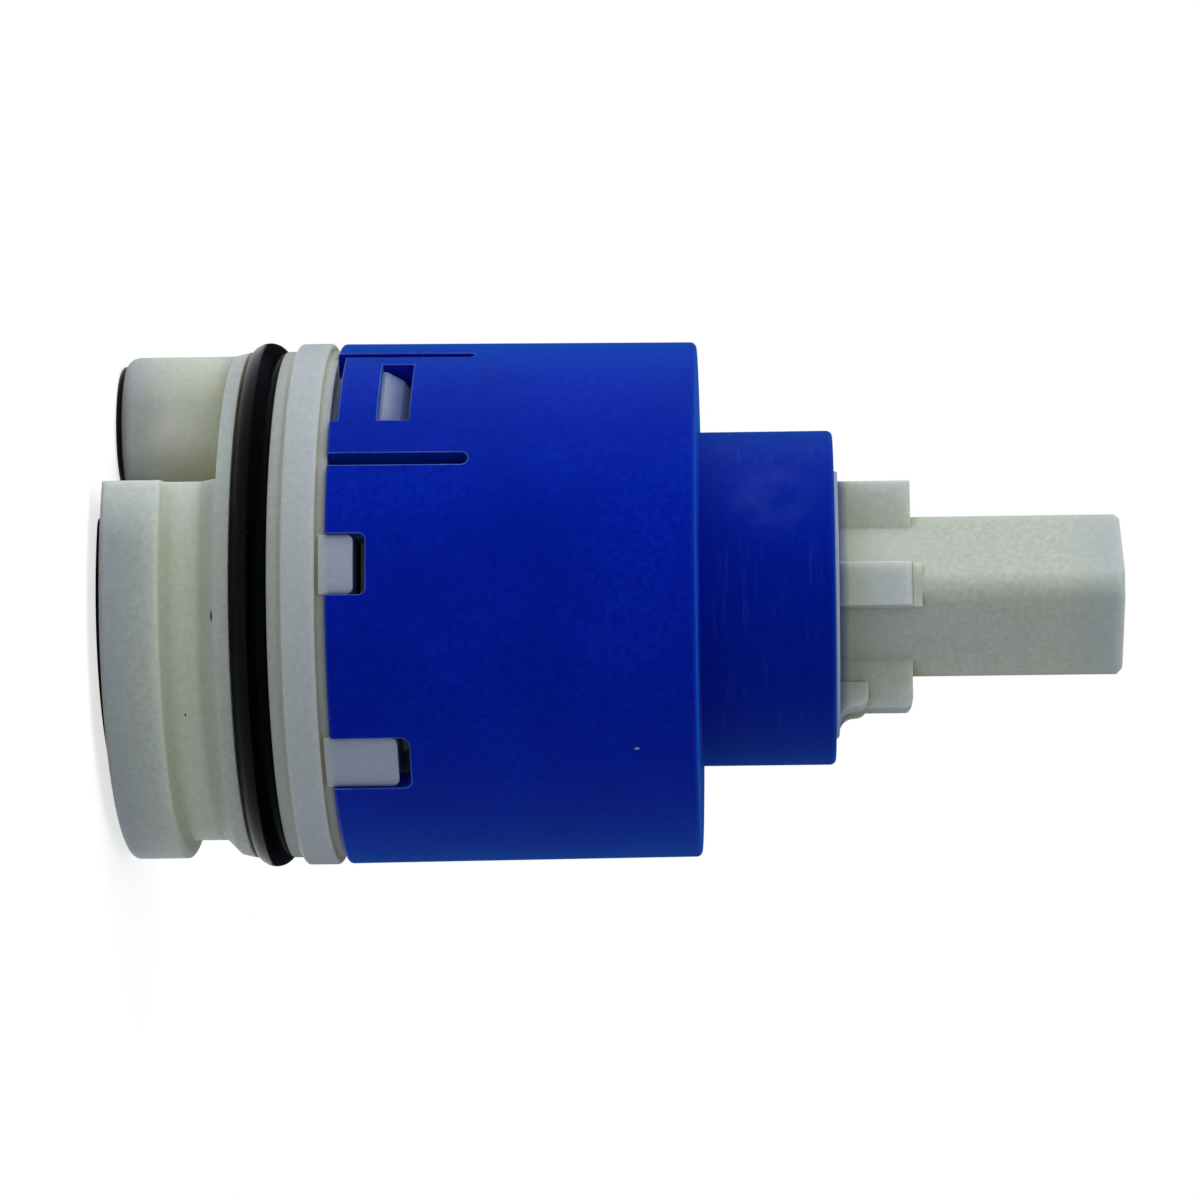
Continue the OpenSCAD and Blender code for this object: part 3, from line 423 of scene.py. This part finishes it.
def nitrile_rubber(name):
    """Greased black rubber with flow lines round the ring and a little dust."""
    material, tree, place = new_material(name)
    along = (per_mm(FLOW_ROUND_MM), per_mm(FLOW_ROUND_MM), per_mm(FLOW_UP_MM))
    stretched = add(tree, "Mapping", {"Vector": place, "Scale": along})
    flow = add(tree, "TexNoise", {"Vector": stretched, "Scale": 1.0, "Detail": 3.0, "Roughness": 0.6})
    bloom = add(tree, "TexNoise", {"Vector": place, "Scale": per_mm(BLOOM_MM), "Detail": 3.0})
    bloomed = add(tree, "MapRange", {0: bloom, 1: 0.35, 2: 0.7})
    colour = add(tree, "Mix", {0: bloomed, 1: linear("#010102"), 2: linear("#030306")}, data_type="RGBA")
    dust = add(tree, "TexVoronoi", {"Vector": place, "Scale": per_mm(DUST_MM), "Randomness": 1.0})
    specks = add(tree, "MapRange", {0: dust, 1: 0.085, 2: 0.03, 3: 0.0, 4: 0.12})
    colour = add(tree, "Mix", {0: specks, 1: colour, 2: linear("#50545A")}, data_type="RGBA")
    rounded, edges = edge_mask(tree)
    # the edges painted a little lighter: partly rubbed, partly a painted edge highlight
    lighter_edges = add(tree, "Math", {0: edges, 1: 0.35}, operation="MULTIPLY")
    colour = add(tree, "Mix", {0: lighter_edges, 1: colour, 2: linear("#202227")}, data_type="RGBA")
    lines = add(tree, "Bump", {"Height": flow, "Distance": 0.02 * MM, "Strength": 0.5, "Normal": rounded})
    skin = add(tree, "TexNoise", {"Vector": place, "Scale": per_mm(PORE_MM), "Detail": 2.0})
    pores = add(tree, "Bump", {"Height": skin, "Distance": 0.004 * MM, "Strength": 0.5, "Normal": lines})
    roughness = add(tree, "MapRange", {0: flow, 1: 0.3, 2: 0.7, 3: 0.17, 4: 0.32})
    shader = add(tree, "BsdfPrincipled", {
        "Base Color": colour, "Roughness": roughness, "IOR": NITRILE_IOR, "Specular IOR Level": 0.05,
        "Normal": pores})
    add(tree, "OutputMaterial", {"Surface": shader})
    print("made", name)
    return material


seal_rubber = nitrile_rubber("nitrile_rubber_moulded")

# %% [markdown]
# The two valve discs are alumina, sintered and then lapped so flat that they seal on each other with a film
# of grease. The eye reads that as a hard ivory white with a mirror-like face and finely pitted rims.

# %% Alumina ceramic, lapped
ALUMINA_IOR = 1.76
CLOUD_MM = 2.5
PIT_MM = 0.2
DISC_ROUNDING_MM = 0.08


def alumina(name):
    """Sintered alumina: glossy where it is lapped flat, satin and pitted on its rims."""
    material, tree, place = new_material(name)
    cloud = add(tree, "TexNoise", {"Vector": place, "Scale": per_mm(CLOUD_MM), "Detail": 3.0})
    clouded = add(tree, "MapRange", {0: cloud, 1: 0.3, 2: 0.7})
    colour = add(tree, "Mix", {0: clouded, 1: linear("#E4E0D4"), 2: linear("#D6D0C0")}, data_type="RGBA")
    facing = add(tree, "SeparateXYZ", {0: add(tree, "NewGeometry").outputs["Normal"]}).outputs["Z"]
    level = add(tree, "Math", {0: facing}, operation="ABSOLUTE")
    rim = add(tree, "MapRange", {0: level, 1: 0.9, 2: 0.6})
    rounded, edges = edge_mask(tree, DISC_ROUNDING_MM)
    pits = add(tree, "TexNoise", {"Vector": place, "Scale": per_mm(PIT_MM), "Detail": 3.0,
                                  "Roughness": 0.7})
    pitted = add(tree, "Math", {0: pits, 1: rim}, operation="MULTIPLY")
    bump = add(tree, "Bump", {"Height": pitted, "Distance": 0.01 * MM, "Strength": 0.6, "Normal": rounded})
    chipped = add(tree, "Math", {0: edges, 1: 0.5}, operation="MULTIPLY")
    colour = add(tree, "Mix", {0: chipped, 1: colour, 2: linear("#F4F2EA")}, data_type="RGBA")
    roughness = add(tree, "MapRange", {0: rim, 1: 0.0, 2: 1.0, 3: 0.12, 4: 0.45})
    shader = add(tree, "BsdfPrincipled", {
        "Base Color": colour, "Roughness": roughness, "IOR": ALUMINA_IOR, "Subsurface Weight": 0.1,
        "Subsurface Scale": 0.4 * MM, "Normal": bump})
    add(tree, "OutputMaterial", {"Surface": shader})
    print("made", name)
    return material


disc_ceramic = alumina("alumina_lapped")

# %% [markdown]
# Two kinds of metal are inside. The hinge pin and the silencer mesh are stainless steel, ground to size,
# so fine straight scratches spread the highlight. The bush and the slide ring are turned from bearing
# bronze, and the lathe's tool leaves rings round the axis.
# Both are one recipe: a metal whose fine marks are noise squeezed along one direction.

# %% Ground steel and turned bronze
TARNISH_MM = 1.8
METAL_SEAM_MM = 0.6
METAL_ROUNDING_MM = 0.06


def marked_metal(name, bright, dull, marks_mm, smoothest, roughest):
    """Bare metal whose tool marks are marks_mm long along X, Y and Z."""
    material, tree, place = new_material(name)
    squeezed = add(tree, "Mapping", {"Vector": place, "Scale": [per_mm(m) for m in marks_mm]})
    marks = add(tree, "TexNoise", {"Vector": squeezed, "Scale": 1.0, "Detail": 3.0, "Roughness": 0.65})
    tarnish = add(tree, "TexNoise", {"Vector": place, "Scale": per_mm(TARNISH_MM), "Detail": 3.0})
    tarnished = add(tree, "MapRange", {0: tarnish, 1: 0.35, 2: 0.7})
    colour = add(tree, "Mix", {0: tarnished, 1: linear(bright), 2: linear(dull)}, data_type="RGBA")
    seams = hollow_mask(tree, METAL_SEAM_MM)
    colour = add(tree, "Mix", {0: seams, 1: colour, 2: linear(dull)}, data_type="RGBA")
    rounded, edges = edge_mask(tree, METAL_ROUNDING_MM)
    polished = add(tree, "Math", {0: edges, 1: 0.6}, operation="MULTIPLY")
    colour = add(tree, "Mix", {0: polished, 1: colour, 2: linear(bright)}, data_type="RGBA")
    bump = add(tree, "Bump", {"Height": marks, "Distance": 0.006 * MM, "Strength": 0.5, "Normal": rounded})
    roughness = add(tree, "MapRange", {0: marks, 1: 0.3, 2: 0.7, 3: smoothest, 4: roughest})
    shader = add(tree, "BsdfPrincipled", {
        "Base Color": colour, "Roughness": roughness, "Metallic": 1.0, "Normal": bump})
    add(tree, "OutputMaterial", {"Surface": shader})
    print("made", name)
    return material


pin_steel = marked_metal("stainless_steel_ground", bright="#C9CBCC", dull="#8D9092",
                         marks_mm=(0.12, 3.0, 0.12), smoothest=0.22, roughest=0.38)
bush_bronze = marked_metal("bearing_bronze_turned", bright="#D3A066", dull="#8A6236",
                           marks_mm=(2.5, 2.5, 0.14), smoothest=0.26, roughest=0.44)

# %% [markdown]
# Each solid keeps its shape and takes the finish that its real piece has.

# %% Give every piece its finish
FINISHES = {
    "base": base_white, "disc_carrier": base_white, "rotor": lever_white, "lever_stem": lever_white,
    "housing": housing_blue,
    "inlet_gasket": seal_rubber, "outlet_port_seal": seal_rubber, "body_o_ring": seal_rubber,
    "disc_seal_hot": seal_rubber, "disc_seal_cold": seal_rubber, "disc_seal_outlet": seal_rubber,
    "chamber_seal": seal_rubber, "rotor_o_ring": seal_rubber,
    "fixed_disc": disc_ceramic, "moving_disc": disc_ceramic,
    "silencer_mesh": pin_steel, "hinge_pin": pin_steel,
    "ball_bush": bush_bronze, "slide_ring": bush_bronze,
}
for name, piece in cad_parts.items():
    for slot in piece.material_slots:
        slot.material = FINISHES[name]
print("finished", len(FINISHES), "pieces; without a finish:", sorted(set(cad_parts) - set(FINISHES)))

# %% [markdown]
# The cartridge stands on a plain pale floor, a round sheet just wider than its shadow.
# A white sheet in a studio is lit until it disappears, which here would also wash out the cartridge.
# So the lamps stay at the level the plastic needs, and the sheet adds light of its own for the camera
# and for reflections only. Where the cartridge shades it, the soft shadow stays.

# %% Floor
FLOOR_RADIUS = 75 * MM
FLOOR_SIDES = 128
FLOOR_GLOW = 0.70       # with the lamps' light this brings the open floor just to white

floor_mesh = bpy.data.meshes.new("floor")
rim_points = [(FLOOR_RADIUS * math.cos(math.tau * i / FLOOR_SIDES),
               FLOOR_RADIUS * math.sin(math.tau * i / FLOOR_SIDES), 0.0) for i in range(FLOOR_SIDES)]
floor_mesh.from_pydata(rim_points, [], [list(range(FLOOR_SIDES))])
floor = bpy.data.objects.new("floor", floor_mesh)
bpy.context.scene.collection.objects.link(floor)

floor_paper, tree, _ = new_material("paper_white_matt")
path = add(tree, "LightPath")
seen = add(tree, "Math", {0: path.outputs["Is Camera Ray"], 1: path.outputs["Is Glossy Ray"]},
           operation="MAXIMUM")
seen = add(tree, "Math", {0: seen, 1: path.outputs["Is Transmission Ray"]}, operation="MAXIMUM")
paper = add(tree, "BsdfDiffuse", {"Color": linear("#D6D7D8")})
glow = add(tree, "Emission", {"Color": (1, 1, 1, 1), "Strength": FLOOR_GLOW})
dark = add(tree, "Emission", {"Color": (0, 0, 0, 1), "Strength": 0.0})
own_light = add(tree, "MixShader", {0: seen, 1: dark, 2: glow})
add(tree, "OutputMaterial", {"Surface": add(tree, "AddShader", {0: paper, 1: own_light})})
floor_mesh.materials.append(floor_paper)
print("floor radius in mm:", FLOOR_RADIUS / MM)

# %% [markdown]
# The room is a white tent, and the camera sees it plain white. Reflections see it as such a tent is lit:
# bright overhead, which is towards -X here, and past the stem's end, and shaded low down and behind the
# camera. That is why the blue stays deep on one side and silky on the other.
# Diffuse light is an even fill from all sides, only a little bluer from below.

# %% The white tent around the cartridge
OVERHEAD = (-0.98, -0.16, 0.1)
SHADED_CLOTH, LIT_CLOTH, LIT_END = 0.03, 0.36, 0.5      # how bright reflections see the cloth
FILL_STRENGTH = 0.48

world = bpy.data.worlds.new("white_tent")
bpy.context.scene.world = world
world.use_nodes = True
tree = world.node_tree
tree.nodes.clear()
path = add(tree, "LightPath")
direction = add(tree, "TexCoord").outputs["Generated"]
overhead = add(tree, "VectorMath", {0: direction, 1: OVERHEAD}, operation="DOT_PRODUCT")
upward = add(tree, "VectorMath", {0: direction, 1: (0.0, 0.0, 1.0)}, operation="DOT_PRODUCT")
over_cloth = add(tree, "MapRange", {0: overhead, 1: 0.55, 2: 0.85, 3: SHADED_CLOTH, 4: LIT_CLOTH})
up_cloth = add(tree, "MapRange", {0: upward, 1: 0.5, 2: 0.95, 3: 0.0, 4: LIT_END})
cloth = add(tree, "Math", {0: over_cloth, 1: up_cloth}, operation="MAXIMUM")
reflected = add(tree, "Background", {"Color": linear("#DCE8FF"), "Strength": cloth})
white = add(tree, "Background", {"Color": (1, 1, 1, 1), "Strength": 1.0})
lowness = add(tree, "MapRange", {0: overhead, 1: 0.2, 2: -0.8})
fill_colour = add(tree, "Mix", {0: lowness, 1: linear("#FCFDFA"), 2: linear("#EDF3FF")}, data_type="RGBA")
fill = add(tree, "Background", {"Color": fill_colour, "Strength": FILL_STRENGTH})
straight = add(tree, "Math", {0: path.outputs["Is Camera Ray"], 1: path.outputs["Is Transmission Ray"]},
               operation="MAXIMUM")
by_gloss = add(tree, "MixShader", {0: path.outputs["Is Glossy Ray"], 1: fill, 2: reflected})
by_sight = add(tree, "MixShader", {0: straight, 1: by_gloss, 2: white})
add(tree, "OutputWorld", {"Surface": by_sight})
print("even fill at", FILL_STRENGTH, "of white")

# %% [markdown]
# One big soft lamp stands beside the cartridge, towards -X and a little to the camera's side. It makes the
# gentle fall from light to shade across the round body.
# A small weak one shines down along the stem from the camera's side, so that the lever's faces stay apart.
# A narrow one behind puts a thin light line on the far edges and gives the back some shape.

# %% Lamps
LAMPS_AIM = Vector((0, 0, 33 * MM))     # the middle of the cartridge


def soft_lamp(name, direction, distance, width, height, watts, colour):
    """A rectangular lamp that points at the middle of the cartridge, with its long side upright."""
    data = bpy.data.lights.new(name, "AREA")
    data.shape, data.size, data.size_y, data.energy = "RECTANGLE", width, height, watts
    data.color = linear(colour)[:3]
    lamp = bpy.data.objects.new(name, data)
    towards = Vector(direction).normalized()
    lamp.location = LAMPS_AIM + towards * distance
    lamp.rotation_mode = "QUATERNION"
    lamp.rotation_quaternion = towards.to_track_quat("Z", "Y")
    lamp.visible_glossy = False
    bpy.context.scene.collection.objects.link(lamp)
    print(name, "at", [round(v / MM) for v in lamp.location], "mm")
    return lamp


soft_lamp("key_lamp", (-0.90, -0.37, 0.22), distance=0.35, width=0.40, height=0.60, watts=1.04,
          colour="#F8FAFF")
soft_lamp("stem_lamp", (-0.10, -0.75, 0.65), distance=0.20, width=0.10, height=0.10, watts=0.024,
          colour="#FFFFFF")
soft_lamp("rim_lamp", (-0.25, 0.95, 0.10), distance=0.40, width=0.16, height=0.50, watts=0.16,
          colour="#FFFFFF")

# %% [markdown]
# The camera lies on its side, as the photographer laid the cartridge down: the stem points to the right of
# the picture, and -X is up. It is about 31 cm away and looks slightly back from the stem's end, which is why
# the body's end near the foot shows its curve.

# %% Camera
AZIMUTH = math.radians(8.5)
DISTANCE = 308.6 * MM
EYE_HEIGHT = 43.78 * MM
AIM = Vector((-0.045 * MM, 0, 32.21 * MM))
ROLL = math.radians(-0.733)
FOCAL_PER_WIDTH = 4595 / 1200       # focal length over picture width, both in pixels of the photograph
SENSOR_WIDTH_MM = 36

eye = Vector((math.sin(AZIMUTH), -math.cos(AZIMUTH), 0)) * DISTANCE + Vector((0, 0, EYE_HEIGHT))
look = (AIM - eye).normalized()
level_right = Vector((0, 0, 1))
level_right = (level_right - look * level_right.dot(look)).normalized()
level_up = level_right.cross(look)
right = math.cos(ROLL) * level_right + math.sin(ROLL) * level_up
up = math.cos(ROLL) * level_up - math.sin(ROLL) * level_right

camera_data = bpy.data.cameras.new("camera")
camera_data.sensor_width = SENSOR_WIDTH_MM
camera_data.lens = camera_data.sensor_width * FOCAL_PER_WIDTH
camera_data.clip_start = 10 * MM
camera = bpy.data.objects.new("camera", camera_data)
camera.matrix_world = Matrix.Translation(eye) @ Matrix((right, up, -look)).transposed().to_4x4()
bpy.context.scene.collection.objects.link(camera)
bpy.context.scene.camera = camera
bpy.context.scene.view_settings.view_transform = "Standard"
print("lens in mm:", round(camera_data.lens, 1), "up in the picture:", [round(v, 2) for v in up])

# %% [markdown]
